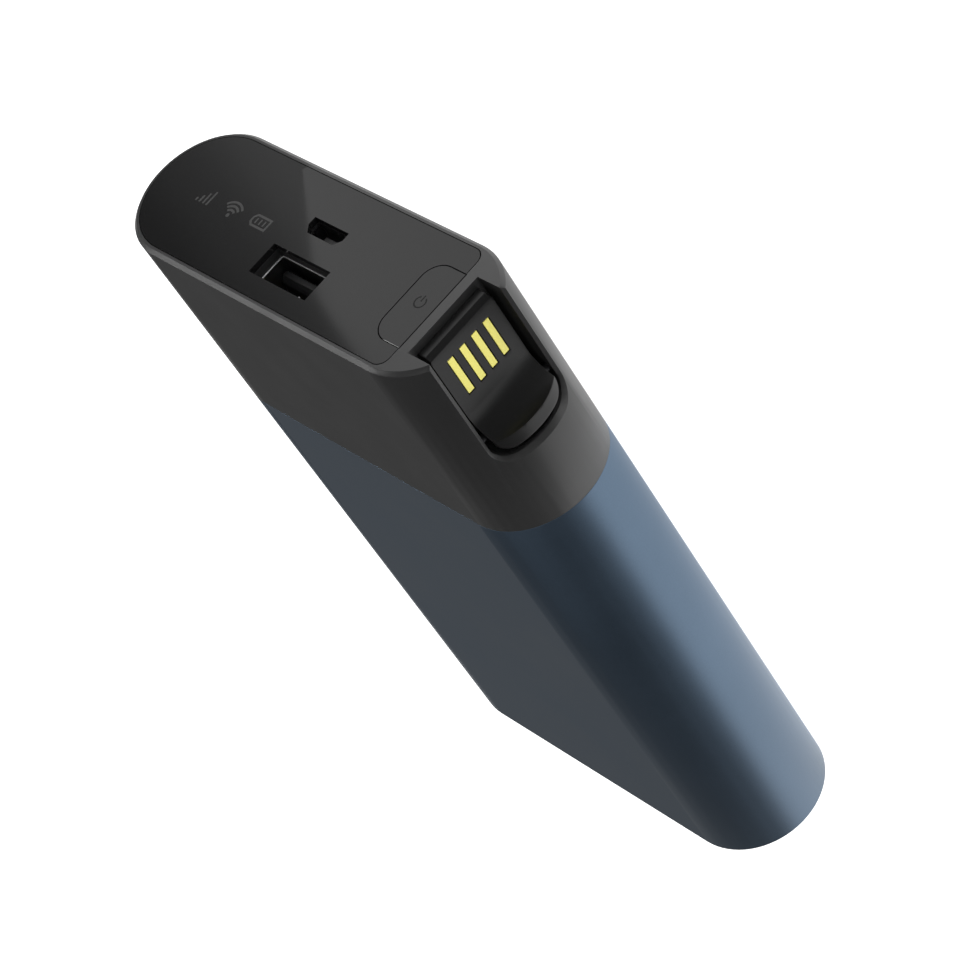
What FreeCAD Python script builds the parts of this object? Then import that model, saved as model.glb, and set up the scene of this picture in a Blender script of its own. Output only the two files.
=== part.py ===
import FreeCAD, Part
from FreeCAD import Vector as V
import math
import os

os.makedirs("parts", exist_ok=True)

# ---------------------------------------------------------------- dimensions
# Pocket 4G hotspot with a built-in power bank. Millimetres.
# Frame: origin at the centre of the underside, +Z up, +Y along the body to
# the closed rear end, -Y the port end. "f" is the distance behind the port
# end face, so y = f - LENGTH / 2.
LENGTH = 116.0          # Y
WIDTH = 71.0            # X
THICK = 22.6            # Z, a full round on both long sides
ZC = THICK / 2
R_SIDE = THICK / 2
XS = WIDTH / 2 - R_SIDE  # centre line of each rounded side

SEAM_F = 34.1           # joint between black housing and metal sleeve
RIM_CHAMFER = 0.55
REAR_CHAMFER = 0.45
HOUSING_WALL = 1.8
SPIGOT_F = 39.5         # end of the housing's spigot inside the sleeve
SLEEVE_WALL = 1.2

PLATE_T = 1.0           # face plate thickness
PLATE_OFF = 1.0         # plate edge inside the outline
PLATE_X0 = -26.2        # straight plate edge beside the plug recess
PLATE_R = 1.8
GROOVE = 0.06           # half of the shadow line round the plate
WALL_F = 2.6            # back of the housing's end wall

USB_X0, USB_X1 = -6.45, 6.0
USB_Z0, USB_Z1 = 13.15, 18.35
USB_SHELL_F0, USB_SHELL_F1 = 2.6, 17.0
USB_TONGUE_F0 = 4.35
USB_SHEET = 0.35
USB_LIP = 0.12           # the shell's rim shows this far inside the opening

BTN_X0, BTN_X1 = -26.25, -20.1
BTN_Z0, BTN_Z1 = 4.9, 18.05
BTN_TRAVEL = 0.4
BTN_POST_Z = 12.9
BTN_X = -23.3

REC_FLOOR_X = -28.1     # floor of the plug recess
REC_HALF = 6.8          # half width of the recess
REC_F1 = 20.75          # closed end of the recess
REC_R = 2.8
REC_CHAMFER = 0.7        # edge break round the recess's mouth
BLOCK_X = -26.4         # inner face of the solid block round the recess
BLOCK_F = 24.2

PIVOT_X, PIVOT_F = -31.0, 17.0
PIN_R = 0.75
PIN_GAP = 0.05
PLUG_HALF = 6.0
PLUG_BACK_X = -28.35
PLUG_FACE_X = -30.65
PLUG_F0, PLUG_F1 = 1.2, 19.4
SCOOP_R = 4.4
SCOOP_F = 12.8
PAD_PITCH = 2.3
PAD_W = 1.0
PAD_F0, PAD_F1 = 3.8, 10.4

BOARD_Z0, BOARD_Z1 = 10.2, 11.4
BOARD_F0, BOARD_F1 = 6.6, 37.0

TRAY_F0, TRAY_F1 = 15.0, 29.0
TRAY_Z0, TRAY_Z1 = 7.8, 9.2
TRAY_X0 = 14.5
TRAY_GAP = 0.15

CELL_R = 9.05
WRAP_T = 0.15
CELL_PITCH = 19.2
CELL_F0, CELL_F1 = 44.3, 109.0


# ------------------------------------------------------------------ helpers
def P(x, f, z):
    return V(x, f - LENGTH / 2, z)


def box(x0, x1, f0, f1, z0, z1):
    return Part.makeBox(x1 - x0, f1 - f0, z1 - z0, P(x0, f0, z0))


def cyl_y(x, z, r, f0, f1):
    return Part.makeCylinder(r, f1 - f0, P(x, f0, z), V(0, 1, 0))


def cyl_z(x, f, r, z0, z1):
    return Part.makeCylinder(r, z1 - z0, P(x, f, z0), V(0, 0, 1))


def stadium_wire(off, f, half_w=None):
    """Outline of the body section, moved inwards by off."""
    r = R_SIDE - off
    xs = XS if half_w is None else half_w
    a, b = P(-xs, f, ZC - r), P(xs, f, ZC - r)
    c, d = P(xs, f, ZC + r), P(-xs, f, ZC + r)
    e = [Part.makeLine(a, b),
         Part.Arc(b, P(xs + r, f, ZC), c).toShape(),
         Part.makeLine(c, d),
         Part.Arc(d, P(-xs - r, f, ZC), a).toShape()]
    return Part.Wire(e)


def stadium(off, f0, f1):
    return Part.Face(stadium_wire(off, f0)).extrude(V(0, f1 - f0, 0))


def round_poly(pts, to3d):
    """Closed wire through pts = (a, b, radius), mapped to space by to3d."""
    n = len(pts)
    segs = []
    ends = []
    for i in range(n):
        a, b, r = pts[i]
        pa, pb, _ = pts[i - 1]
        na, nb, _ = pts[(i + 1) % n]
        ua, ub = pa - a, pb - b
        lu = math.hypot(ua, ub)
        ua, ub = ua / lu, ub / lu
        va, vb = na - a, nb - b
        lv = math.hypot(va, vb)
        va, vb = va / lv, vb / lv
        if r <= 0:
            ends.append(((a, b), None, (a, b)))
            continue
        cosang = ua * va + ub * vb
        half = math.acos(max(-1, min(1, cosang))) / 2
        t = r / math.tan(half)
        p1 = (a + ua * t, b + ub * t)
        p2 = (a + va * t, b + vb * t)
        ba, bb = ua + va, ub + vb
        lb = math.hypot(ba, bb)
        h = r / math.sin(half) - r
        mid = (a + ba / lb * h, b + bb / lb * h)
        ends.append((p1, mid, p2))
    for i in range(n):
        p1, mid, p2 = ends[i]
        if mid is not None:
            segs.append(Part.Arc(to3d(*p1), to3d(*mid), to3d(*p2)).toShape())
        q = ends[(i + 1) % n][0]
        if math.hypot(q[0] - p2[0], q[1] - p2[1]) > 1e-6:
            segs.append(Part.makeLine(to3d(*p2), to3d(*q)))
    return Part.Wire(segs)


def prism_xz(pts, f0, f1):
    w = round_poly(pts, lambda a, b: P(a, f0, b))
    return Part.Face(w).extrude(V(0, f1 - f0, 0))


def prism_fz(pts, x0, x1):
    w = round_poly(pts, lambda a, b: P(x0, a, b))
    return Part.Face(w).extrude(V(x1 - x0, 0, 0))


def prism_xf(pts, z0, z1):
    w = round_poly(pts, lambda a, b: P(a, b, z0))
    return Part.Face(w).extrude(V(0, 0, z1 - z0))


def join(shapes):
    s = shapes[0]
    if len(shapes) > 1:
        s = s.multiFuse(shapes[1:])
    return s.removeSplitter()


def group(shapes):
    return Part.makeCompound(shapes)


def save(name, shape):
    shape.exportStep("parts/%s.step" % name)
    n = len(shape.Solids)
    ok = all(s.isValid() for s in shape.Solids)
    print("%-24s solids %2d valid %s vol %9.1f" % (name, n, ok, shape.Volume))


# ------------------------------------------------------------ shared outlines
def plate_outline(off, f0, f1):
    """Stadium inside the rim with one straight edge beside the recess."""
    s = stadium(off, f0, f1)
    x0 = PLATE_X0 + (off - PLATE_OFF)
    z0, z1 = off, THICK - off
    cut = prism_xz([(x0, z0 - 0.001, PLATE_R), (40, z0 - 0.001, 0),
                    (40, z1 + 0.001, 0), (x0, z1 + 0.001, PLATE_R)], f0, f1)
    return s.common(cut)


def usb_prism(grow, f0, f1):
    return box(USB_X0 - grow, USB_X1 + grow, f0, f1, USB_Z0 - grow, USB_Z1 + grow)


def micro_prism(grow, f0, f1):
    g = grow
    return prism_xz([(-3.87 - g, 7.1 - g, 0), (3.54 + g, 7.1 - g, 0),
                     (3.54 + g, 8.46 + 0.4 * g, 0), (2.56 + 0.4 * g, 9.63 + g, 0),
                     (-2.9 - 0.4 * g, 9.63 + g, 0), (-3.87 - g, 8.46 + 0.4 * g, 0)], f0, f1)


def button_prism(grow, f0, f1, open_side=0.0):
    x0 = BTN_X0 - grow - open_side
    r = 3.0 + grow
    return prism_xz([(x0, BTN_Z0 - grow, 0.15), (BTN_X1 + grow, BTN_Z0 - grow, r),
                     (BTN_X1 + grow, BTN_Z1 + grow, r), (x0, BTN_Z1 + grow, 0.15)], f0, f1)


# --------------------------------------------------------------- front housing
outer = Part.makeLoft([stadium_wire(RIM_CHAMFER, 0), stadium_wire(0, RIM_CHAMFER)], True, True)
outer = outer.fuse(stadium(0, RIM_CHAMFER, SEAM_F)).removeSplitter()

rec_pts = [(-2, ZC - REC_HALF, 0), (REC_F1, ZC - REC_HALF, REC_R),
           (REC_F1, ZC + REC_HALF, REC_R), (-2, ZC + REC_HALF, 0)]
recess = prism_fz(rec_pts, -45, REC_FLOOR_X)
skin = outer.cut(recess)

# edge break where the recess walls meet the rounded side
edges = []
for e in skin.Edges:
    bb = e.BoundBox
    if bb.XMax < REC_FLOOR_X - 0.5 and bb.YMin > P(0, RIM_CHAMFER - 0.01, 0).y and bb.YMax < P(0, REC_F1 + 0.01, 0).y:
        m = e.valueAt((e.FirstParameter + e.LastParameter) / 2)
        r = math.hypot(m.x + XS, m.z - ZC)
        if abs(r - R_SIDE) < 0.02 and m.y > P(0, RIM_CHAMFER + 0.02, 0).y:
            edges.append(e)
for d in (REC_CHAMFER, 0.6, 0.45):
    try:
        c = skin.makeChamfer(d, edges)
        if c.isValid() and c.Volume < skin.Volume and len(c.Solids) == 1:
            skin = c
            print("recess chamfer", d, len(edges))
            break
    except Exception as err:
        print("chamfer", d, err)

# room for the plug's heel to swing: its reach from the pivot at each height,
# plus a running gap, turned about the pivot
HEEL_R = 2.3
SWING_GAP = 0.2


def heel_reach(dz):
    """Farthest point of the plug behind the pivot at height dz from the middle."""
    x_out = -XS - math.sqrt(11.0 ** 2 - dz ** 2)
    flat = PLUG_HALF - HEEL_R
    f_out = PLUG_F1 - HEEL_R
    if dz <= flat:
        f_out = PLUG_F1
    else:
        f_out += math.sqrt(max(0.0, HEEL_R ** 2 - (dz - flat) ** 2))
    out_r = math.hypot(x_out - PIVOT_X, f_out - PIVOT_F)
    back_r = math.hypot(PLUG_BACK_X - PIVOT_X, min(f_out, PLUG_F1 - 0.3) - PIVOT_F)
    return max(out_r, back_r)


prof = []
steps = 16
for i in range(steps + 1):
    dz = PLUG_HALF * i / steps
    prof.append((heel_reach(dz) + SWING_GAP, dz))
prof.append((heel_reach(PLUG_HALF) - 0.05, PLUG_HALF + SWING_GAP))
swing_half = PLUG_HALF + SWING_GAP
upper = [P(PIVOT_X - r, PIVOT_F, ZC + z) for r, z in prof]
lower = [P(PIVOT_X - r, PIVOT_F, ZC - z) for r, z in reversed(prof[1:])]
outline = lower + upper
w = Part.makePolygon([P(PIVOT_X, PIVOT_F, ZC - swing_half)] + outline + [P(PIVOT_X, PIVOT_F, ZC + swing_half), P(PIVOT_X, PIVOT_F, ZC - swing_half)])
swing = Part.Face(w).revolve(P(PIVOT_X, PIVOT_F, 0), V(0, 0, 1), 360)
if swing.Volume < 0:
    swing = swing.reversed()
limit = box(-45, REC_FLOOR_X + 0.35, 8, 30, 0, THICK)
relief = cyl_z(PIVOT_X, PIVOT_F, 3.3, ZC - REC_HALF, ZC + REC_HALF).common(box(-30, -20, 10, 25, 0, THICK))

# hollow inside, leaving the block round the recess
cavity_a = stadium(HOUSING_WALL, WALL_F, SEAM_F + 0.001).cut(
    box(-40, BLOCK_X, -1, BLOCK_F, -1, THICK + 1))
spigot = stadium(SLEEVE_WALL + 0.05, SEAM_F - 0.5, SPIGOT_F).cut(
    stadium(SLEEVE_WALL + 1.25, SEAM_F - 1.0, SPIGOT_F + 1))
body = join([skin.cut(cavity_a), spigot])
body = body.cut(swing.common(limit)).cut(relief)
body = body.cut(plate_outline(PLATE_OFF - GROOVE, -1, PLATE_T))
body = body.cut(usb_prism(0, -1, 5)).cut(micro_prism(0, -1, 2.0)).cut(micro_prism(0.3, 1.6, 5))
body = body.cut(button_prism(0.12, -1, 5))
# window for the light guide
LG = (8.2, 25.8, 9.6, 13.4)
body = body.cut(box(LG[0], LG[1], PLATE_T, 4, LG[2], LG[3]))
# holes for the hinge pin, blind at the top, open into the recess
body = body.cut(cyl_z(PIVOT_X, PIVOT_F, PIN_R, 3.4, THICK - 3.4))
# SIM tray slot through the other rounded side
slot = prism_fz([(TRAY_F0 - TRAY_GAP, TRAY_Z0 - TRAY_GAP, 0.5), (TRAY_F1 + TRAY_GAP, TRAY_Z0 - TRAY_GAP, 0.5),
                 (TRAY_F1 + TRAY_GAP, TRAY_Z1 + TRAY_GAP, 0.5), (TRAY_F0 - TRAY_GAP, TRAY_Z1 + TRAY_GAP, 0.5)], 30, 40)
body = body.cut(slot)
# lead slit from the recess to the inside
body = body.cut(box(REC_FLOOR_X - 1, BLOCK_X + 1, 10.6, 11.2, 7.0, 10.0))
# bosses for the main board
BOSSES = [(-19.5, 26.5), (28.6, 9.2), (28.6, 32.0), (-22.0, 33.5)]
boss = [cyl_z(x, f, 2.1, 0.5, BOARD_Z0).common(stadium(1.3, 2, 38)) for x, f in BOSSES]
# bosses for the cell holder's screws
HOLDER_SCREWS = [(29.9, 16.3), (-29.9, 16.3)]
boss2 = [cyl_y(x, z, 2.2, 33.0, 40.9).common(stadium(SLEEVE_WALL + 0.1, 30, 41)) for x, z in HOLDER_SCREWS]
for b in boss + boss2:
    body = body.fuse(b)
    if not body.isValid():
        print('boss fuse invalid')
for x, f in BOSSES:
    body = body.cut(cyl_z(x, f, 0.8, 4.5, BOARD_Z0 + 1))
for x, z in HOLDER_SCREWS:
    body = body.cut(cyl_y(x, z, 0.85, 34.0, 41.5))
save("front_housing", body)

# ------------------------------------------------------------------ face plate
plate = plate_outline(PLATE_OFF + GROOVE, 0.0, PLATE_T - 0.02)
plate = plate.cut(usb_prism(0, -1, 2)).cut(micro_prism(0, -1, 2))
plate = plate.cut(button_prism(0.1, -1, 2, open_side=1.0))
# status icons, sunk into the plate; their "up" is towards -Z
ICON_F = 0.12
def icon_prism(pts, f0=0.0, f1=ICON_F):
    return prism_xz([(a, b, 0) for a, b in pts], f0, f1)

def arc_band(cx, cz, r0, r1, a0, a1, f0=0.0, f1=ICON_F):
    """Band centred on -Z, angles measured from -Z."""
    def pt(r, a):
        return P(cx + r * math.sin(a), f0, cz - r * math.cos(a))
    am = (a0 + a1) / 2
    w = Part.Wire([Part.Arc(pt(r1, a0), pt(r1, am), pt(r1, a1)).toShape(),
                   Part.makeLine(pt(r1, a1), pt(r0, a1)),
                   Part.Arc(pt(r0, a1), pt(r0, am), pt(r0, a0)).toShape(),
                   Part.makeLine(pt(r0, a0), pt(r1, a0))])
    return Part.Face(w).extrude(V(0, f1 - f0, 0))

signal = []
for x, z in ((24.75, 12.2), (23.95, 11.55), (23.15, 10.9), (22.35, 10.3)):
    signal.append(icon_prism([(x - 0.18, z), (x + 0.18, z), (x + 0.18, 12.75), (x - 0.18, 12.75)]))
wifi = [Part.makeCylinder(0.32, ICON_F, P(17.4, 0, 12.62), V(0, 1, 0))]
for r in (0.92, 1.6, 2.28):
    wifi.append(arc_band(17.4, 12.62, r - 0.19, r + 0.19, -math.radians(50), math.radians(50)))
sim_o = icon_prism([(9.35, 10.35), (12.55, 10.35), (13.15, 10.95), (13.15, 11.85), (12.55, 12.45), (9.35, 12.45)])
sim_i = icon_prism([(9.7, 10.7), (12.4, 10.7), (12.8, 11.1), (12.8, 11.7), (12.4, 12.1), (9.7, 12.1)], -1, 1)
sim = [sim_o.cut(sim_i)]
for x in (10.35, 11.2, 12.05):
    sim.append(icon_prism([(x - 0.14, 10.95), (x + 0.14, 10.95), (x + 0.14, 11.85), (x - 0.14, 11.85)]))
icons = signal + wifi + sim
for s in icons:
    plate = plate.cut(s)
save("face_plate", plate)
save("signal_icon", group(signal))
save("wireless_icon", group(wifi))
save("sim_icon", group(sim))

# light guide and the lamps behind the icons
lg = box(LG[0] + 0.1, LG[1] - 0.1, PLATE_T, 3.1, LG[2] + 0.1, LG[3] - 0.1)
save("light_guide", lg)
leds = [box(x - 0.8, x + 0.8, 3.3, 4.1, BOARD_Z1, BOARD_Z1 + 0.8) for x in (11.2, 17.4, 23.5)]
save("status_leds", group(leds))

# --------------------------------------------------------------- power button
btn = button_prism(0, 0, 3.0)
flange = prism_xz([(BTN_X0 + 0.05, BTN_Z0 - 0.75, 0.3), (BTN_X1 + 0.8, BTN_Z0 - 0.75, 3.0),
                   (BTN_X1 + 0.8, BTN_Z1 + 0.75, 3.0), (BTN_X0 + 0.05, BTN_Z1 + 0.75, 0.3)], WALL_F + 0.05, 3.6)
post = cyl_y(BTN_X, BTN_POST_Z, 1.3, 3.4, 6.2)
btn = join([btn, flange, post])
top_e = [e for e in btn.Edges if abs(e.BoundBox.YMax - P(0, 0, 0).y) < 1e-4 and abs(e.BoundBox.YMin - P(0, 0, 0).y) < 1e-4]
try:
    b2 = btn.makeChamfer(0.08, top_e)
    if b2.isValid():
        btn = b2
except Exception as err:
    print("button chamfer", err)
PX, PZ = BTN_X, 11.15
ring = arc_band(PX, PZ, 0.78, 1.02, math.radians(32), math.radians(328))
bar = icon_prism([(PX - 0.12, PZ - 1.15), (PX + 0.12, PZ - 1.15), (PX + 0.12, PZ - 0.1), (PX - 0.12, PZ - 0.1)])
btn = btn.cut(ring).cut(bar)
save("power_button", btn)
save("power_icon", group([ring, bar]))

# tact switch under the button
sw = box(BTN_X - 2.6, BTN_X + 2.6, 7.4, 10.4, BOARD_Z1, BOARD_Z1 + 3.2)
sw = sw.cut(cyl_y(BTN_X, BTN_POST_Z, 0.85, 6.0, 8.6))
save("tact_switch_body", sw)
plunger = cyl_y(BTN_X, BTN_POST_Z, 0.8, 6.25, 8.1)
save("tact_switch_plunger", plunger)

# ---------------------------------------------------------------- USB-A output
shell = usb_prism(USB_SHEET, USB_SHELL_F0, USB_SHELL_F1).cut(usb_prism(-USB_LIP, USB_SHELL_F0 - 1, USB_SHELL_F1 - 0.6))
legs = []
for x0 in (USB_X0 - USB_SHEET, USB_X1):
    for f0 in (7.6, 13.2):
        legs.append(box(x0, x0 + USB_SHEET, f0, f0 + 1.5, BOARD_Z0 - 0.5, USB_Z0))
# spring tabs pressed in from the wide wall
tabs = []
for x in (-4.05, -1.5):
    tab = prism_xz([(x - 0.35, USB_Z1 + 0.05, 0), (x - 0.15, USB_Z1 - 1.3, 0.05), (x + 0.15, USB_Z1 - 1.3, 0.05), (x + 0.35, USB_Z1 + 0.05, 0)], 3.2, 3.6)
    tabs.append(tab)
shell = join([shell] + legs + tabs)
save("usb_a_shell", shell)
tongue = prism_fz([(USB_TONGUE_F0, 14.15, 0), (USB_TONGUE_F0, 14.95, 0), (USB_TONGUE_F0 + 0.9, 15.7, 0),
                   (USB_SHELL_F1 - 2.4, 15.7, 0), (USB_SHELL_F1 - 2.4, 13.9, 0), (USB_TONGUE_F0 + 0.3, 13.9, 0)], -5.9, 5.45)
rear = box(USB_X0 + 0.17, USB_X1 - 0.17, USB_SHELL_F1 - 2.4, USB_SHELL_F1 - 0.65, USB_Z0 + 0.17, USB_Z1 - 0.17)
tongue = join([tongue, rear])
contacts = []
for x in (-3.72, -1.22, 0.78, 3.28):
    contacts.append(box(x - 0.5, x + 0.5, USB_TONGUE_F0 + 3.3, USB_SHELL_F1 - 2.6, 15.45, 15.8))
for c in contacts:
    tongue = tongue.cut(c)
save("usb_a_tongue", tongue)
save("usb_a_contacts", group(contacts))

# ------------------------------------------------------------ micro-USB input
mshell = micro_prism(0.27, 1.65, 7.2).cut(micro_prism(0.0, 1.0, 6.8))
save("micro_usb_shell", mshell)
mt = join([box(-2.1, 1.8, 2.4, 5.4, 8.05, 8.65), micro_prism(-0.06, 5.3, 6.75)])
mpads = [box(x - 0.15, x + 0.15, 2.7, 5.2, 8.5, 8.72) for x in (-1.45, -0.8, -0.15, 0.5, 1.15)]
for c in mpads:
    mt = mt.cut(c)
save("micro_usb_tongue", mt)
save("micro_usb_contacts", group(mpads))

# ------------------------------------------------------------ swing-out plug
def plug_profile(z0, z1):
    xo = PLUG_FACE_X - SCOOP_R
    f_end = SCOOP_F + SCOOP_R
    a = P(PLUG_FACE_X, SCOOP_F, z0)
    b = P(xo, f_end, z0)
    c45 = math.sqrt(0.5)
    m = P(xo + SCOOP_R * c45, SCOOP_F + SCOOP_R * c45, z0)
    pts = [b, P(-37, f_end, z0), P(-37, PLUG_F1, z0), P(PLUG_BACK_X - 0.9, PLUG_F1, z0),
           P(PLUG_BACK_X, PLUG_F1 - 0.9, z0), P(PLUG_BACK_X, PLUG_F0, z0), P(-29.8, PLUG_F0, z0),
           P(PLUG_FACE_X, PLUG_F0 + 0.5, z0), a]
    edges = [Part.Arc(a, m, b).toShape()]
    for i in range(len(pts) - 1):
        edges.append(Part.makeLine(pts[i], pts[i + 1]))
    return Part.Face(Part.Wire(edges)).extrude(V(0, 0, z1 - z0))


plug = plug_profile(ZC - PLUG_HALF, ZC + PLUG_HALF)
plug = plug.common(stadium(0.3, -1, 30))
plan = prism_fz([(0, ZC - PLUG_HALF, 0.2), (PLUG_F1, ZC - PLUG_HALF, HEEL_R),
                 (PLUG_F1, ZC + PLUG_HALF, HEEL_R), (0, ZC + PLUG_HALF, 0.2)], -45, -20)
plug = plug.common(plan)
plug = plug.cut(cyl_z(PIVOT_X, PIVOT_F, PIN_R + PIN_GAP, 0, THICK))
pads = []
for k in (-1.5, -0.5, 0.5, 1.5):
    zc = ZC + k * PAD_PITCH
    pads.append((zc, box(PLUG_FACE_X - 0.02 + 0.08, PLUG_FACE_X + 0.45, PAD_F0, PAD_F1, zc - PAD_W / 2, zc + PAD_W / 2)))
for zc, p in pads:
    plug = plug.cut(box(PLUG_FACE_X - 1, PLUG_FACE_X + 0.45, PAD_F0 - 0.06, PAD_F1 + 0.06, zc - PAD_W / 2 - 0.06, zc + PAD_W / 2 + 0.06))
save("plug_body", plug)
save("plug_contacts", group([p for _, p in pads]))
save("plug_hinge_pin", cyl_z(PIVOT_X, PIVOT_F, PIN_R, 3.5, THICK - 3.5))

# fixed end of the flexible lead, in the recess wall
save("plug_flex_lead", join([box(REC_FLOOR_X + 0.3, BLOCK_X + 3.5, 10.75, 11.05, 7.1, 9.9)]))

# -------------------------------------------------------------------- sleeve
sl = stadium(0, SEAM_F + 0.04, LENGTH - REAR_CHAMFER)
tip = Part.makeLoft([stadium_wire(0, LENGTH - REAR_CHAMFER), stadium_wire(REAR_CHAMFER, LENGTH)], True, True)
sl = join([sl, tip]).cut(stadium(SLEEVE_WALL, SEAM_F - 1, LENGTH + 1))
save("metal_sleeve", sl)

cap = join([stadium(SLEEVE_WALL + 0.06, LENGTH - 2.0, LENGTH - 0.15),
            stadium(SLEEVE_WALL + 0.06, LENGTH - 4.2, LENGTH - 1.9).cut(stadium(SLEEVE_WALL + 1.3, LENGTH - 5, LENGTH))])
save("rear_cap", cap)

# ---------------------------------------------------------------- cell holders
def cell_positions():
    return (-CELL_PITCH, 0.0, CELL_PITCH)

HF0, HF1, HF2 = 41.0, 43.6, 48.0
hold = stadium(SLEEVE_WALL + 0.25, HF0, HF2)
for x in cell_positions():
    hold = hold.cut(cyl_y(x, ZC, CELL_R + WRAP_T + 0.1, 43.9, 60))
    hold = hold.cut(cyl_y(x, ZC, 4.2, 40, 60))
hold = hold.cut(box(-26.5, 26.5, 43.55, 44.35, 6.8, 15.8))
LEAD_X, LEAD_Z = CELL_PITCH / 2, 19.35
hold = hold.cut(cyl_y(LEAD_X, LEAD_Z, 0.95, 40, 60)).cut(cyl_y(-LEAD_X, LEAD_Z, 0.95, 40, 60))
for x, z in HOLDER_SCREWS:
    hold = hold.cut(cyl_y(x, z, 1.1, 40, 60)).cut(cyl_y(x, z, 2.1, 43.0, 60))
save("cell_holder_front", hold)

RF0, RF1 = 105.0, 111.6
hold2 = stadium(SLEEVE_WALL + 0.25, RF0, RF1)
for x in cell_positions():
    hold2 = hold2.cut(cyl_y(x, ZC, CELL_R + WRAP_T + 0.1, 100, CELL_F1 + 0.02))
    hold2 = hold2.cut(cyl_y(x, ZC, 4.2, 100, 113))
hold2 = hold2.cut(box(-26.5, 26.5, CELL_F1 - 0.02, CELL_F1 + 0.4, 6.8, 15.8))
hold2 = hold2.cut(cyl_y(LEAD_X, LEAD_Z, 0.95, 100, 113))
hold2 = hold2.cut(box(LEAD_X - 0.9, LEAD_X + 0.9, CELL_F1, 113, ZC, LEAD_Z))
save("cell_holder_rear", hold2)

cans, wraps, nubs, rings = [], [], [], []
for x in cell_positions():
    cans.append(cyl_y(x, ZC, CELL_R, CELL_F0, CELL_F1))
    w = cyl_y(x, ZC, CELL_R + WRAP_T, CELL_F0, CELL_F1 - 0.3).cut(cyl_y(x, ZC, CELL_R, CELL_F0 - 1, CELL_F1 + 1))
    wraps.append(w)
    rings.append(cyl_y(x, ZC, 8.6, CELL_F0 - 0.2, CELL_F0).cut(cyl_y(x, ZC, 3.6, CELL_F0 - 1, CELL_F0 + 1)))
    nubs.append(cyl_y(x, ZC, 3.0, CELL_F0 - 0.35, CELL_F0))
save("battery_cells", group(cans))
save("cell_wraps", group(wraps))
save("cell_terminals", group(nubs))
save("cell_insulators", group(rings))

bus_p = join([box(-25.5, 25.5, 43.65, 43.9, 7.2, 15.4)])
save("bus_strip_positive", bus_p)
bus_n = join([box(-25.5, 25.5, CELL_F1, CELL_F1 + 0.25, 7.2, 15.4)])
save("bus_strip_negative", bus_n)
lead_n = cyl_y(LEAD_X, LEAD_Z, 0.8, 40.25, CELL_F1 + 0.25)
lead_p = cyl_y(-LEAD_X, LEAD_Z, 0.8, 40.25, 43.6)
save("battery_leads", group([lead_n, lead_p]))
pads_f = [box(-21, 21, 52, 101, THICK - SLEEVE_WALL - 0.75, THICK - SLEEVE_WALL - 0.05),
          box(-21, 21, 52, 101, SLEEVE_WALL + 0.05, SLEEVE_WALL + 0.75)]
save("foam_pads", group(pads_f))
hs = []
for x, z in HOLDER_SCREWS:
    hs.append(join([cyl_y(x, z, 0.8, 35.0, 43.2), cyl_y(x, z, 1.9, 43.0, 44.4)]).cut(cyl_y(x, z, 0.8, 43.8, 45)))
save("holder_screws", group(hs))

# -------------------------------------------------------------- circuit boards
board = box(-26.0, 32.6, BOARD_F0, BOARD_F1, BOARD_Z0, BOARD_Z1)
board = join([board, box(-12, 31.0, 3.25, BOARD_F0 + 1, BOARD_Z0, BOARD_Z1)])
for x, f in BOSSES:
    board = board.cut(cyl_z(x, f, 0.85, 9, 13))
for x0 in (USB_X0 - USB_SHEET, USB_X1):
    for f0 in (7.6, 13.2):
        board = board.cut(box(x0 - 0.08, x0 + USB_SHEET + 0.08, f0 - 0.08, f0 + 1.58, 9, 13))
save("main_board", board)
bs = []
for x, f in BOSSES:
    s = join([cyl_z(x, f, 0.75, 5.0, BOARD_Z1 + 0.1), cyl_z(x, f, 1.6, BOARD_Z1, BOARD_Z1 + 1.1)])
    bs.append(s.cut(cyl_z(x, f, 0.6, BOARD_Z1 + 0.5, BOARD_Z1 + 2)))
save("board_screws", group(bs))


def can(x0, x1, f0, f1, h, side=1):
    if side > 0:
        z0, z1 = BOARD_Z1, BOARD_Z1 + h
        return box(x0, x1, f0, f1, z0, z1).cut(box(x0 + 0.25, x1 - 0.25, f0 + 0.25, f1 - 0.25, z0 - 1, z1 - 0.25))
    z0, z1 = BOARD_Z0 - h, BOARD_Z0
    return box(x0, x1, f0, f1, z0, z1).cut(box(x0 + 0.25, x1 - 0.25, f0 + 0.25, f1 - 0.25, z0 + 0.25, z1 + 1))


save("modem_shield", can(9.5, 26.0, 12.0, 35.0, 2.4))
save("modem_module", box(11.0, 24.5, 14.0, 33.0, BOARD_Z1, BOARD_Z1 + 1.6))
save("wifi_shield", can(-8.5, 7.5, 20.0, 34.0, 2.0))
save("wifi_chips", group([box(-6.5, -0.5, 22.0, 28.0, BOARD_Z1, BOARD_Z1 + 1.0),
                          box(1.0, 5.5, 24.0, 31.0, BOARD_Z1, BOARD_Z1 + 1.0)]))
ind = box(-19.0, -12.0, 14.0, 21.0, BOARD_Z1, BOARD_Z1 + 3.2)
save("power_inductor", ind)
caps = [cyl_z(-14.0 + 0.0, 11.0, 1.9, BOARD_Z1, BOARD_Z1 + 4.2)]
for x, f in ((-16.5, 24.0), (-13.5, 24.0), (-10.5, 24.0), (-16.5, 31.0), (-13.5, 31.0)):
    caps.append(box(x - 0.9, x + 0.9, f - 0.6, f + 0.6, BOARD_Z1, BOARD_Z1 + 0.9))
save("capacitors", group(caps))
save("power_chips", group([box(-18, -13, 10.5, 15.5, BOARD_Z0 - 0.9, BOARD_Z0),
                           box(-5, 0, 12.0, 17.0, BOARD_Z0 - 0.9, BOARD_Z0),
                           box(0, 4, 22.0, 26.0, BOARD_Z0 - 0.9, BOARD_Z0)]))
pboard = box(-22, 22, 39.0, 40.2, 4.0, 18.6)
for x in (LEAD_X, -LEAD_X):
    pboard = pboard
save("protection_board", pboard)
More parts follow.
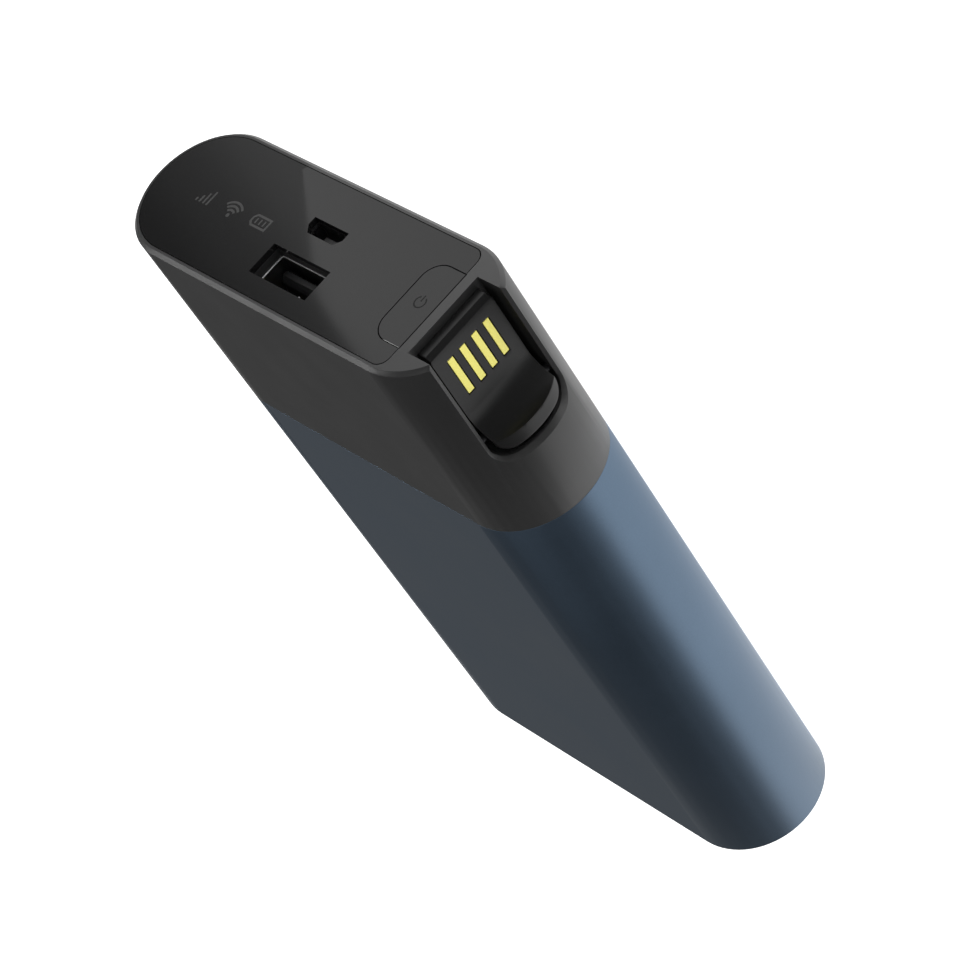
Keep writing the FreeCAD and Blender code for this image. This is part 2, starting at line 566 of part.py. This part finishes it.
save("protection_chips", group([box(x - 2, x + 2, 38.0, 39.0, 13.0, 16.5) for x in (-12, -4, 6)]))

# ------------------------------------------------------------------ SIM tray
tray = prism_fz([(TRAY_F0, TRAY_Z0, 0.4), (TRAY_F1, TRAY_Z0, 0.4), (TRAY_F1, TRAY_Z1, 0.4), (TRAY_F0, TRAY_Z1, 0.4)], 34.0 - 3.0, 40)
tray = tray.common(stadium(0.03, 5, 33))
blade = box(TRAY_X0, 31.5, TRAY_F0 + 0.5, TRAY_F1 - 0.5, TRAY_Z0, TRAY_Z1)
tray = join([tray, blade])
card_x0, card_x1 = 16.2, 28.5
card = (TRAY_F0 + 2.6, TRAY_F1 - 2.6)
tray = tray.cut(box(card_x0 - 0.1, card_x1 + 0.1, card[0] - 0.1, card[1] + 0.1, TRAY_Z0 + 0.5, TRAY_Z1 + 1))
# finger notch on the upper edge of the tray's face
notch = Part.makeCylinder(3.0, 0.7, P(36.2, (TRAY_F0 + TRAY_F1) / 2, TRAY_Z1 - 0.35), V(0, 0, 1))
tray = tray.cut(notch.common(box(34.4, 40, TRAY_F0, TRAY_F1, 0, 20)))
save("sim_tray", tray)
save("sim_card", prism_xf([(card_x0, card[0], 0.6), (card_x1, card[0], 0.6), (card_x1, card[1], 0.6), (card_x0, card[1], 1.4)], TRAY_Z0 + 0.52, TRAY_Z0 + 1.2))
ss = box(TRAY_X0 - 1.6, 30.0, TRAY_F0 - 0.6, TRAY_F1 + 0.6, TRAY_Z0 - 0.5, BOARD_Z0)
ss = ss.cut(box(TRAY_X0 - 0.4, 45, TRAY_F0 + 0.25, TRAY_F1 - 0.25, TRAY_Z0 - 0.15, TRAY_Z1 + 0.15))
save("sim_socket", ss)

# ------------------------------------------------------------------ antennas
def antenna_arc(xc, r0, r1, f0, f1, z0, z1, sgn):
    ring = cyl_y(xc, ZC, r1, f0, f1).cut(cyl_y(xc, ZC, r0, f0 - 1, f1 + 1))
    lo = xc + 1.0 if sgn > 0 else -60
    hi = 60 if sgn > 0 else xc - 1.0
    return ring.common(box(lo, hi, f0 - 1, f1 + 1, z0, z1))


ri = R_SIDE - HOUSING_WALL
save("main_antenna", antenna_arc(XS, ri - 0.2, ri - 0.03, 5.0, 13.5, 6.0, 20.6, 1))
save("diversity_antenna", box(-18, 8, 21.0, 31.5, THICK - HOUSING_WALL - 0.25, THICK - HOUSING_WALL - 0.03))
save("wifi_antenna", box(-12, 10, 5.0, 12.0, HOUSING_WALL + 0.03, HOUSING_WALL + 0.25))
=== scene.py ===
import math
import bpy
import bmesh
from mathutils import Matrix, Vector


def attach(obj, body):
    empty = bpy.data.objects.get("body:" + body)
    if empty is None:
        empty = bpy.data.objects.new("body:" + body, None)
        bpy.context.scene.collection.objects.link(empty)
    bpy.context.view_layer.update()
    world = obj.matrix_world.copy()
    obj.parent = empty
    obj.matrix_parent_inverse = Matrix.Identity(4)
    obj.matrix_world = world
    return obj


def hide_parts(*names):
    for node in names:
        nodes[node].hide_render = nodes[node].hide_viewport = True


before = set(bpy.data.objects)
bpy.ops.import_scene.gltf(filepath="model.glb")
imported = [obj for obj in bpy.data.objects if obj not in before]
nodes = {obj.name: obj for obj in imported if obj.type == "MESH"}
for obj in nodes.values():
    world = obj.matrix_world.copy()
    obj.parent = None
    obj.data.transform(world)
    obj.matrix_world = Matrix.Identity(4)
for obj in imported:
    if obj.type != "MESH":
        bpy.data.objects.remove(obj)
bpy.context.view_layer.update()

D = bpy.data
MM = 0.001
LENGTH, WIDTH, THICK = 0.116, 0.071, 0.0226


# ------------------------------------------------------------------ materials
def nt_of(mat):
    mat.use_nodes = True
    nt = mat.node_tree
    nt.nodes.clear()
    out = nt.nodes.new("ShaderNodeOutputMaterial")
    bsdf = nt.nodes.new("ShaderNodeBsdfPrincipled")
    nt.links.new(bsdf.outputs["BSDF"], out.inputs["Surface"])
    return nt, bsdf


def obj_coord(nt):
    return nt.nodes.new("ShaderNodeTexCoord").outputs["Object"]


def noise(nt, co, scale, detail=3.0, rough=0.5, stretch=None):
    if stretch is not None:
        mp = nt.nodes.new("ShaderNodeMapping")
        mp.inputs["Scale"].default_value = stretch
        nt.links.new(co, mp.inputs["Vector"])
        co = mp.outputs["Vector"]
    n = nt.nodes.new("ShaderNodeTexNoise")
    n.inputs["Scale"].default_value = scale
    n.inputs["Detail"].default_value = detail
    n.inputs["Roughness"].default_value = rough
    nt.links.new(co, n.inputs["Vector"])
    return n.outputs["Fac"]


def ramp(nt, fac, stops):
    r = nt.nodes.new("ShaderNodeValToRGB")
    els = r.color_ramp.elements
    while len(els) < len(stops):
        els.new(0.5)
    for e, (p, c) in zip(els, stops):
        e.position = p
        e.color = (c[0], c[1], c[2], 1.0) if not isinstance(c, (int, float)) else (c, c, c, 1.0)
    nt.links.new(fac, r.inputs["Fac"])
    return r.outputs["Color"]


def remap(nt, fac, a, b, lo, hi):
    m = nt.nodes.new("ShaderNodeMapRange")
    for k, v in (("From Min", a), ("From Max", b), ("To Min", lo), ("To Max", hi)):
        m.inputs[k].default_value = v
    nt.links.new(fac, m.inputs["Value"])
    return m.outputs["Result"]


def math_node(nt, op, a, b):
    m = nt.nodes.new("ShaderNodeMath")
    m.operation = op
    for i, v in enumerate((a, b)):
        if isinstance(v, (int, float)):
            m.inputs[i].default_value = v
        else:
            nt.links.new(v, m.inputs[i])
    return m.outputs["Value"]


def bump(nt, bsdf, height, strength, dist):
    b = nt.nodes.new("ShaderNodeBump")
    b.inputs["Strength"].default_value = strength
    b.inputs["Distance"].default_value = dist
    nt.links.new(height, b.inputs["Height"])
    nt.links.new(b.outputs["Normal"], bsdf.inputs["Normal"])


def shade(color, k):
    return tuple(max(0.0, min(1.0, c * k)) for c in color)


def moulded(name, color, rough=0.45, grain=9000.0, spread=0.12, depth=0.000004, strength=0.25, coat=0.0,
            metallic=0.0, spec=0.5, streak=None, rough_spread=0.06, blotch=140.0):
    """Plastic, film or metal with a fine grain, slow colour variation and a worked surface."""
    mat = D.materials.new(name)
    nt, b = nt_of(mat)
    co = obj_coord(nt)
    slow = noise(nt, co, blotch, 3.0)
    fine = noise(nt, co, grain, 2.0, 0.6, streak)
    mix = math_node(nt, "ADD", math_node(nt, "MULTIPLY", slow, 0.6), math_node(nt, "MULTIPLY", fine, 0.4))
    col = ramp(nt, mix, [(0.3, shade(color, 1 - spread)), (0.7, shade(color, 1 + spread))])
    nt.links.new(col, b.inputs["Base Color"])
    nt.links.new(remap(nt, mix, 0.3, 0.7, rough - rough_spread, rough + rough_spread), b.inputs["Roughness"])
    b.inputs["Metallic"].default_value = metallic
    b.inputs["Specular IOR Level"].default_value = spec
    if coat:
        b.inputs["Coat Weight"].default_value = coat
        b.inputs["Coat Roughness"].default_value = 0.05
    if strength > 0:
        bump(nt, b, fine, strength, depth)
    return mat


BLACK = (0.023, 0.023, 0.0233)
M = {}
M["housing"] = moulded("housing_satin_black", BLACK, 0.46, grain=14000, spread=0.06, depth=0.000001, strength=0.2, rough_spread=0.03, spec=0.6)
# the plug is the same satin black plastic as the housing; its darker colour is painted shade for the recess it sits in
M["plug"] = moulded("plug_black_painted_shade", (0.009, 0.009, 0.0092), 0.34, grain=14000, spread=0.06, depth=0.000001, strength=0.2, rough_spread=0.03, spec=0.29)
M["plate"] = moulded("plate_gloss_black", (0.008, 0.008, 0.0082), 0.10, grain=2500, spread=0.05, strength=0.0, rough_spread=0.004, spec=0.30)
M["button"] = moulded("button_gloss_black", (0.010, 0.010, 0.0102), 0.14, grain=2500, spread=0.05, strength=0.0, rough_spread=0.004, spec=0.30)
M["icon"] = moulded("icon_grey_print", (0.055, 0.055, 0.055), 0.5, grain=9000, spread=0.08, spec=0.3)
M["icon_dark"] = moulded("icon_dark_print", (0.012, 0.012, 0.012), 0.5, grain=9000, spread=0.08, spec=0.12)


def anodised():
    mat = D.materials.new("sleeve_anodised")
    nt, b = nt_of(mat)
    co = obj_coord(nt)
    slow = noise(nt, co, 45.0, 4.0)
    blast = noise(nt, co, 5200.0, 3.0, 0.65)
    fine = noise(nt, co, 16000.0, 2.0, 0.6)
    mix = math_node(nt, "ADD", math_node(nt, "MULTIPLY", slow, 0.35),
                    math_node(nt, "ADD", math_node(nt, "MULTIPLY", blast, 0.35), math_node(nt, "MULTIPLY", fine, 0.3)))
    col = ramp(nt, mix, [(0.3, (0.093, 0.133, 0.184)), (0.5, (0.108, 0.154, 0.213)), (0.7, (0.125, 0.178, 0.245))])
    nt.links.new(col, b.inputs["Base Color"])
    nt.links.new(remap(nt, mix, 0.3, 0.7, 0.36, 0.46), b.inputs["Roughness"])
    b.inputs["Metallic"].default_value = 1.0
    both = math_node(nt, "ADD", math_node(nt, "MULTIPLY", blast, 0.6), math_node(nt, "MULTIPLY", fine, 0.4))
    bump(nt, b, both, 0.35, 0.000006)
    return mat


M["sleeve"] = anodised()
M["cap"] = moulded("cap_satin_black", BLACK, 0.45, grain=12000, spread=0.07, depth=0.000002)
M["tray"] = moulded("tray_satin_black", BLACK, 0.42, grain=14000, spread=0.06, depth=0.000002)
M["metal"] = moulded("socket_plated_steel", (0.30, 0.30, 0.31), 0.34, grain=5000, spread=0.10, metallic=1.0, streak=(1.0, 0.05, 1.0), depth=0.000002)
# the rolled socket rim is the same plated steel as the shell; its near-white colour is a painted highlight
M["socket_rim"] = moulded("painted_highlight_rim", (0.92, 0.92, 0.92), 0.30, grain=6000, spread=0.04, metallic=0.15, depth=0.000001, spec=0.8)
M["socket_black"] = moulded("socket_black_insulator", (0.02, 0.02, 0.021), 0.4, grain=7000, spread=0.1)
M["gold"] = moulded("contact_gold_flash", (1.0, 0.90, 0.15), 0.36, grain=7000, spread=0.03, metallic=0.0, streak=(1.0, 0.08, 1.0), depth=0.000001, strength=0.15, spec=1.0)
M["pin"] = moulded("pin_blackened_steel", (0.03, 0.03, 0.032), 0.4, grain=6000, spread=0.1, metallic=1.0, streak=(1.0, 1.0, 0.05))
M["guide"] = moulded("guide_milky", (0.72, 0.73, 0.75), 0.35, grain=3000, spread=0.06)
M["led"] = moulded("lamp_resin", (0.8, 0.78, 0.6), 0.25, grain=3000, spread=0.08)
M["switch"] = moulded("switch_black", (0.03, 0.03, 0.03), 0.4, grain=7000, spread=0.15)
M["flex"] = moulded("flex_polyimide", (0.45, 0.19, 0.03), 0.25, grain=1500, spread=0.15, streak=(1.0, 8.0, 1.0))
M["holder"] = moulded("holder_nylon", (0.07, 0.07, 0.072), 0.5, grain=4000, spread=0.2, depth=0.00001)
M["can"] = moulded("cell_nickel_can", (0.6, 0.59, 0.57), 0.3, grain=2500, spread=0.1, metallic=1.0, streak=(1.0, 0.04, 1.0))
M["wrap"] = moulded("cell_shrink_film", (0.06, 0.22, 0.12), 0.22, grain=900, spread=0.1)
M["nickel"] = moulded("nickel_strip", (0.6, 0.58, 0.55), 0.3, grain=2500, spread=0.12, metallic=1.0, streak=(0.05, 1.0, 1.0))
M["paper"] = moulded("fibre_paper", (0.75, 0.74, 0.7), 0.75, grain=2200, spread=0.08, depth=0.00001, strength=0.5)
M["lead"] = moulded("silicone_lead", (0.42, 0.02, 0.02), 0.45, grain=3000, spread=0.12)
M["foam"] = moulded("closed_cell_foam", (0.05, 0.05, 0.05), 0.9, grain=2600, spread=0.3, depth=0.00004, strength=0.8)
M["screw"] = moulded("screw_zinc", (0.42, 0.41, 0.40), 0.32, grain=5000, spread=0.15, metallic=1.0)
M["shield"] = moulded("shield_tinplate", (0.6, 0.6, 0.58), 0.3, grain=2200, spread=0.08, metallic=1.0, streak=(1.0, 0.06, 1.0))
M["chip"] = moulded("chip_epoxy", (0.02, 0.02, 0.021), 0.5, grain=8000, spread=0.2)
M["ferrite"] = moulded("inductor_ferrite", (0.07, 0.07, 0.07), 0.6, grain=5000, spread=0.25, depth=0.00001)
M["cap_tan"] = moulded("capacitor_ceramic", (0.42, 0.30, 0.18), 0.45, grain=5000, spread=0.15)
M["card"] = moulded("card_pvc", (0.82, 0.82, 0.82), 0.3, grain=3000, spread=0.03)
M["copper"] = moulded("antenna_copper", (0.78, 0.42, 0.25), 0.3, grain=3000, spread=0.12, metallic=1.0)


def board_mat(name, base, pad):
    mat = D.materials.new(name)
    nt, b = nt_of(mat)
    co = obj_coord(nt)
    mp = nt.nodes.new("ShaderNodeMapping")
    mp.inputs["Scale"].default_value = (900, 900, 1)
    nt.links.new(co, mp.inputs["Vector"])
    br = nt.nodes.new("ShaderNodeTexBrick")
    br.inputs["Scale"].default_value = 1.0
    br.inputs["Mortar Size"].default_value = 0.08
    br.inputs["Color1"].default_value = (*base, 1)
    br.inputs["Color2"].default_value = (*shade(base, 1.25), 1)
    br.inputs["Mortar"].default_value = (*pad, 1)
    nt.links.new(mp.outputs["Vector"], br.inputs["Vector"])
    nt.links.new(br.outputs["Color"], b.inputs["Base Color"])
    fine = noise(nt, co, 4000.0)
    nt.links.new(remap(nt, fine, 0.3, 0.7, 0.28, 0.42), b.inputs["Roughness"])
    bump(nt, b, br.outputs["Fac"], 0.3, 0.00002)
    return mat


M["board"] = board_mat("board_solder_mask", (0.015, 0.085, 0.045), (0.05, 0.18, 0.08))

ASSIGN = {
    "front_housing": "housing", "face_plate": "plate", "signal_icon": "icon", "wireless_icon": "icon", "sim_icon": "icon",
    "light_guide": "guide", "status_leds": "led", "power_button": "button", "power_icon": "icon_dark",
    "tact_switch_body": "switch", "tact_switch_plunger": "switch", "usb_a_shell": "metal", "usb_a_tongue": "socket_black",
    "usb_a_contacts": "gold", "micro_usb_shell": "metal", "micro_usb_tongue": "socket_black", "micro_usb_contacts": "gold",
    "plug_body": "plug", "plug_contacts": "gold", "plug_hinge_pin": "pin", "plug_flex_lead": "flex", "metal_sleeve": "sleeve",
    "rear_cap": "cap", "cell_holder_front": "holder", "cell_holder_rear": "holder", "battery_cells": "can", "cell_wraps": "wrap",
    "cell_terminals": "nickel", "cell_insulators": "paper", "bus_strip_positive": "nickel", "bus_strip_negative": "nickel",
    "battery_leads": "lead", "foam_pads": "foam", "holder_screws": "screw", "main_board": "board", "board_screws": "screw",
    "modem_shield": "shield", "modem_module": "board", "wifi_shield": "shield", "wifi_chips": "chip", "power_inductor": "ferrite",
    "capacitors": "cap_tan", "power_chips": "chip", "protection_board": "board", "protection_chips": "chip", "sim_tray": "tray",
    "sim_card": "card", "sim_socket": "metal", "main_antenna": "copper", "diversity_antenna": "copper", "wifi_antenna": "copper",
}


def assign(ob, mat):
    if ob.material_slots:
        for s in ob.material_slots:
            s.material = mat
    else:
        ob.data.materials.append(mat)


for name, ob in nodes.items():
    assign(ob, M[ASSIGN[name]])


def soften(ob, width, angle=30.0, segments=2):
    """Breaks the sharp moulded edges of a carried-over part."""
    w = ob.modifiers.new("weld", "WELD")
    w.merge_threshold = 0.0000015
    b = ob.modifiers.new("edge_break", "BEVEL")
    b.width = width
    b.segments = segments
    b.limit_method = "ANGLE"
    b.angle_limit = math.radians(angle)
    b.harden_normals = True
    b.use_clamp_overlap = True


for name, w in (("front_housing", 0.06), ("metal_sleeve", 0.06), ("rear_cap", 0.12), ("face_plate", 0.03), ("power_button", 0.05),
                ("plug_contacts", 0.04), ("usb_a_shell", 0.06), ("usb_a_tongue", 0.06), ("sim_tray", 0.06)):
    soften(nodes[name], w * MM)

# --------------------------------------------------------------- swing-out plug
ZC = 0.0113
XS = 0.0242
F0 = -LENGTH / 2


def new_object(name, bm):
    me = D.meshes.new(name)
    bm.normal_update()
    bm.to_mesh(me)
    bm.free()
    ob = D.objects.new(name, me)
    bpy.context.scene.collection.objects.link(ob)
    return ob


def smooth_all(ob, angle=30.0):
    for p in ob.data.polygons:
        p.use_smooth = True
    w = ob.modifiers.new("normals", "WEIGHTED_NORMAL")
    w.keep_sharp = True
    w.weight = 60


def plug_section(dz):
    """Plan outline of the plug at height dz from its middle, as (x, f) in mm."""
    xl = -24.2 - math.sqrt(11.0 ** 2 - dz ** 2)
    over = max(0.0, abs(dz) - 3.7)
    fe = 19.4 if over == 0 else 17.1 + math.sqrt(max(0.0, 2.3 ** 2 - over ** 2))
    tip = 1.2 + (0.0 if abs(dz) < 5.7 else 0.25 - math.sqrt(max(0.0, 0.3 ** 2 - (abs(dz) - 5.7) ** 2)) + 0.05)
    pts = [(-28.35, tip), (-28.9, tip), (-29.8, tip), (-30.65, tip + 0.5)]
    pts += [(-30.65, tip + 0.5 + (12.8 - tip - 0.5) * k / 14) for k in range(1, 15)]
    end = math.acos(max(0.0, min(1.0, (xl + 35.05) / 4.4)))
    n = 26
    pts += [(-35.05 + 4.4 * math.cos(end * k / n), 12.8 + 4.4 * math.sin(end * k / n)) for k in range(1, n + 1)]
    fa = pts[-1][1]
    pts += [(xl, fa + (fe - fa) * k / 6) for k in range(0, 7)] if xl < -35.051 else [(xl, fa + (fe - fa) * k / 6) for k in range(1, 7)] + [(xl, fe)]
    pts += [(xl + (-29.25 - xl) * k / 8, fe) for k in range(1, 9)]
    pts += [(-29.25 + 0.9 * math.sin(math.pi / 2 * k / 6), fe - 0.9 + 0.9 * math.cos(math.pi / 2 * k / 6)) for k in range(1, 7)]
    f1 = pts[-1][1]
    pts += [(-28.35, f1 + (tip - f1) * k / 12) for k in range(1, 12)]
    return pts


bm = bmesh.new()
levels = []
zs = [-6.0 + 0.1 * k for k in range(0, 24)] + [-3.7 + 7.4 * k / 24 for k in range(0, 25)] + [3.7 + 0.1 * k for k in range(1, 24)]
zs = sorted(set(round(z, 4) for z in zs))
for z in zs:
    levels.append([bm.verts.new((x * MM, F0 + f * MM, ZC + z * MM)) for x, f in plug_section(z)])
count = len(levels[0])
for a, c in zip(levels[:-1], levels[1:]):
    for i in range(count):
        j = (i + 1) % count
        bm.faces.new((a[i], a[j], c[j], c[i]))
bm.faces.new(levels[0])
bm.faces.new(list(reversed(levels[-1])))
bmesh.ops.remove_doubles(bm, verts=bm.verts, dist=0.000002)
bmesh.ops.recalc_face_normals(bm, faces=bm.faces)
plug = new_object("plug_shell", bm)
assign(plug, M["plug"])

bm = bmesh.new()
for k in (-1.5, -0.5, 0.5, 1.5):
    zc = 11.3 + k * 2.3
    bmesh.ops.create_cube(bm, size=1.0, matrix=Matrix.Translation(((-30.65 + 0.45 - 1.0) * MM, F0 + 7.1 * MM, zc * MM)) @ Matrix.Diagonal((2.0 * MM, 6.90 * MM, 1.30 * MM, 1)))
cutter = new_object("pocket_tool", bm)
boo = plug.modifiers.new("pockets", "BOOLEAN")
boo.object = cutter
boo.operation = "DIFFERENCE"
boo.solver = "EXACT"
bev = plug.modifiers.new("edge_break", "BEVEL")
bev.width = 0.07 * MM
bev.segments = 3
bev.limit_method = "ANGLE"
bev.angle_limit = math.radians(28)
bev.use_clamp_overlap = True
bpy.context.view_layer.update()
dg = bpy.context.evaluated_depsgraph_get()
done = D.meshes.new_from_object(plug.evaluated_get(dg))
plug.modifiers.clear()
plug.data = done
D.objects.remove(cutter)
for p in plug.data.polygons:
    p.use_smooth = True
plug.modifiers.new("normals", "WEIGHTED_NORMAL")
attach(plug, "plug")
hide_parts("plug_body")

# ------------------------------------------------- rolled rim of the USB-A shell, coloured near-white as a painted highlight
def round_rect(x0, x1, z0, z1, r, n=5):
    pts = []
    for cx, cz, a0 in ((x1 - r, z1 - r, 0), (x0 + r, z1 - r, 90), (x0 + r, z0 + r, 180), (x1 - r, z0 + r, 270)):
        for k in range(n + 1):
            a = math.radians(a0 + 90 * k / n)
            pts.append((cx + r * math.cos(a), cz + r * math.sin(a)))
    return pts


UX0, UX1, UZ0, UZ1 = -6.45, 6.0, 13.15, 18.35
bm = bmesh.new()
rings = []
for off, f, r in ((0.0, 2.58, 0.45), (0.0, 2.50, 0.45), (0.04, 2.46, 0.42), (0.11, 2.46, 0.36), (0.15, 2.50, 0.33), (0.15, 2.58, 0.33)):
    rings.append([bm.verts.new((x * MM, F0 + f * MM, z * MM)) for x, z in round_rect(UX0 + off, UX1 - off, UZ0 + off, UZ1 - off, r)])
for a, c in zip(rings, rings[1:] + rings[:1]):
    for i in range(len(a)):
        j = (i + 1) % len(a)
        bm.faces.new((a[i], a[j], c[j], c[i]))
bmesh.ops.recalc_face_normals(bm, faces=bm.faces)
rim = new_object("usb_a_rim", bm)
assign(rim, M["socket_rim"])
for p in rim.data.polygons:
    p.use_smooth = True
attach(rim, "case")

# ---------------------------------------------------------------------- camera
R = [[-0.6325869071387143, 0.42071670912649217, -0.6502547620574954],
     [-0.35162552517094003, 0.5920609434637943, 0.7251367659090402],
     [0.6900676017354648, 0.6873581962023412, -0.22659526726859835]]
cam = D.cameras.new("camera")
cam.sensor_width = 36.0
cam.lens = 132.28
cam.clip_start = 0.01
cam.clip_end = 200.0
cam_ob = D.objects.new("camera", cam)
bpy.context.scene.collection.objects.link(cam_ob)
X, Y, Z = Vector(R[0]), -Vector(R[1]), -Vector(R[2])
m = Matrix((X, Y, Z)).transposed().to_4x4()
m.translation = Vector((-0.3484535, -0.3522959, 0.1252491))
cam_ob.matrix_world = m
bpy.context.scene.camera = cam_ob

# ------------------------------------------------------------------ floor, light
floor_mat = D.materials.new("floor_pale")
nt, b = nt_of(floor_mat)
fco = obj_coord(nt)
fcol = ramp(nt, noise(nt, fco, 3.0), [(0.3, (0.80, 0.80, 0.80)), (0.7, (0.84, 0.84, 0.84))])
nt.links.new(fcol, b.inputs["Base Color"])
b.inputs["Roughness"].default_value = 0.9
b.inputs["Emission Color"].default_value = (1, 1, 1, 1)
b.inputs["Emission Strength"].default_value = 1.2
me = D.meshes.new("floor")
bm = bmesh.new()
bmesh.ops.create_grid(bm, x_segments=4, y_segments=4, size=30.0)
bm.to_mesh(me)
bm.free()
floor = D.objects.new("floor", me)
floor.location = (0, 0, -0.0002)
bpy.context.scene.collection.objects.link(floor)
me.materials.append(floor_mat)

world = D.worlds.new("studio") if not bpy.context.scene.world else bpy.context.scene.world
bpy.context.scene.world = world
world.use_nodes = True
wn = world.node_tree
wn.nodes.clear()
bg = wn.nodes.new("ShaderNodeBackground")
bg.inputs["Color"].default_value = (1, 1, 1, 1)
tc = wn.nodes.new("ShaderNodeTexCoord")
ws = wn.nodes.new("ShaderNodeSeparateXYZ")
wn.links.new(tc.outputs["Generated"], ws.inputs["Vector"])
wl = ramp(wn, ws.outputs["Z"], [(0.0, 0.29), (0.30, 0.25), (0.55, 0.12), (0.80, 0.12), (0.97, 0.34)])
wn.links.new(wl, bg.inputs["Color"])
bg.inputs["Strength"].default_value = 1.0
wo = wn.nodes.new("ShaderNodeOutputWorld")
wn.links.new(bg.outputs["Background"], wo.inputs["Surface"])


def area(name, loc, target, size, power, size_y=None):
    l = D.lights.new(name, "AREA")
    l.shape = "RECTANGLE"
    l.size = size
    l.size_y = size_y or size
    l.energy = power
    o = D.objects.new(name, l)
    o.location = loc
    d = Vector(target) - Vector(loc)
    o.rotation_mode = "QUATERNION"
    o.rotation_quaternion = d.to_track_quat("-Z", "Y")
    bpy.context.scene.collection.objects.link(o)
    return o


area("key", (-0.55, -0.60, 0.95), (0, 0, 0.01), 0.7, 1.3)
area("rim", (0.80, -0.30, 0.80), (0, -0.05, 0.011), 0.30, 2.9, 0.30)

# a dark card lying on the floor in front of the port end, seen only in
# reflections, darkens the gloss plate as a black flag does in a studio
edge = [(12.0, -0.3), (16.6, -3.45), (25.6, -16.6), (34.9, -30.4), (44.6, -44.6), (46.0, -52.6), (46.2, -60.4), (46.0, -75.0), (40.0, -120.0)]
ring = [(x * MM, y * MM - LENGTH / 2, 0.0003) for x, y in edge] + [(0.30, -0.12 - LENGTH / 2, 0.0003), (0.30, -0.0003 - LENGTH / 2, 0.0003)]
fm = D.meshes.new("flag_card")
bm = bmesh.new()
bm.faces.new([bm.verts.new(v) for v in ring])
bm.to_mesh(fm)
bm.free()
flag = D.objects.new("flag_card", fm)
bpy.context.scene.collection.objects.link(flag)
fmat = D.materials.new("flag_card")
nt, b = nt_of(fmat)
sep = nt.nodes.new("ShaderNodeSeparateXYZ")
nt.links.new(obj_coord(nt), sep.inputs["Vector"])
grad = ramp(nt, remap(nt, sep.outputs["X"], 0.0, 0.1, 0.0, 1.0),
            [(0.21, 0.86), (0.34, 0.72), (0.41, 0.60), (0.50, 0.47), (0.59, 0.39), (0.68, 0.34), (0.88, 0.18), (0.97, 0.14)])
b.inputs["Base Color"].default_value = (0.0, 0.0, 0.0, 1)
b.inputs["Specular IOR Level"].default_value = 0.0
nt.links.new(grad, b.inputs["Emission Strength"])
b.inputs["Emission Color"].default_value = (1, 1, 1, 1)
fm.materials.append(fmat)
flag.visible_camera = False
flag.visible_diffuse = False
flag.visible_shadow = False
flag.visible_transmission = False

# the camera's own side of the studio is dark too
cm = D.meshes.new("dark_card")
bm = bmesh.new()
fan = []
for k in range(0, 13):
    t = math.radians(188 + 78 * k / 12)
    fan.append((-0.045 + 0.42 * math.cos(t), -0.050 + 0.42 * math.sin(t), 0.0003))
inner = [(0.020, -0.140, 0.0003), (-0.034, -0.0600, 0.0003), (-0.044, -0.0420, 0.0003), (-0.052, -0.030, 0.0003)]
bm.faces.new([bm.verts.new(v) for v in fan + inner])
bm.to_mesh(cm)
bm.free()
dark = D.objects.new("dark_card", cm)
bpy.context.scene.collection.objects.link(dark)
dmat = D.materials.new("dark_card")
nt, b = nt_of(dmat)
b.inputs["Base Color"].default_value = (0.0, 0.0, 0.0, 1)
b.inputs["Specular IOR Level"].default_value = 0.0
nt.links.new(ramp(nt, noise(nt, obj_coord(nt), 3.0), [(0.3, 0.04), (0.7, 0.06)]), b.inputs["Emission Strength"])
b.inputs["Emission Color"].default_value = (1, 1, 1, 1)
cm.materials.append(dmat)
dark.visible_camera = False
dark.visible_diffuse = False
dark.visible_shadow = False
dark.visible_transmission = False

vs = bpy.context.scene.view_settings
vs.view_transform = "Standard"
vs.look = "None"
vs.exposure = 0.0
vs.gamma = 1.0
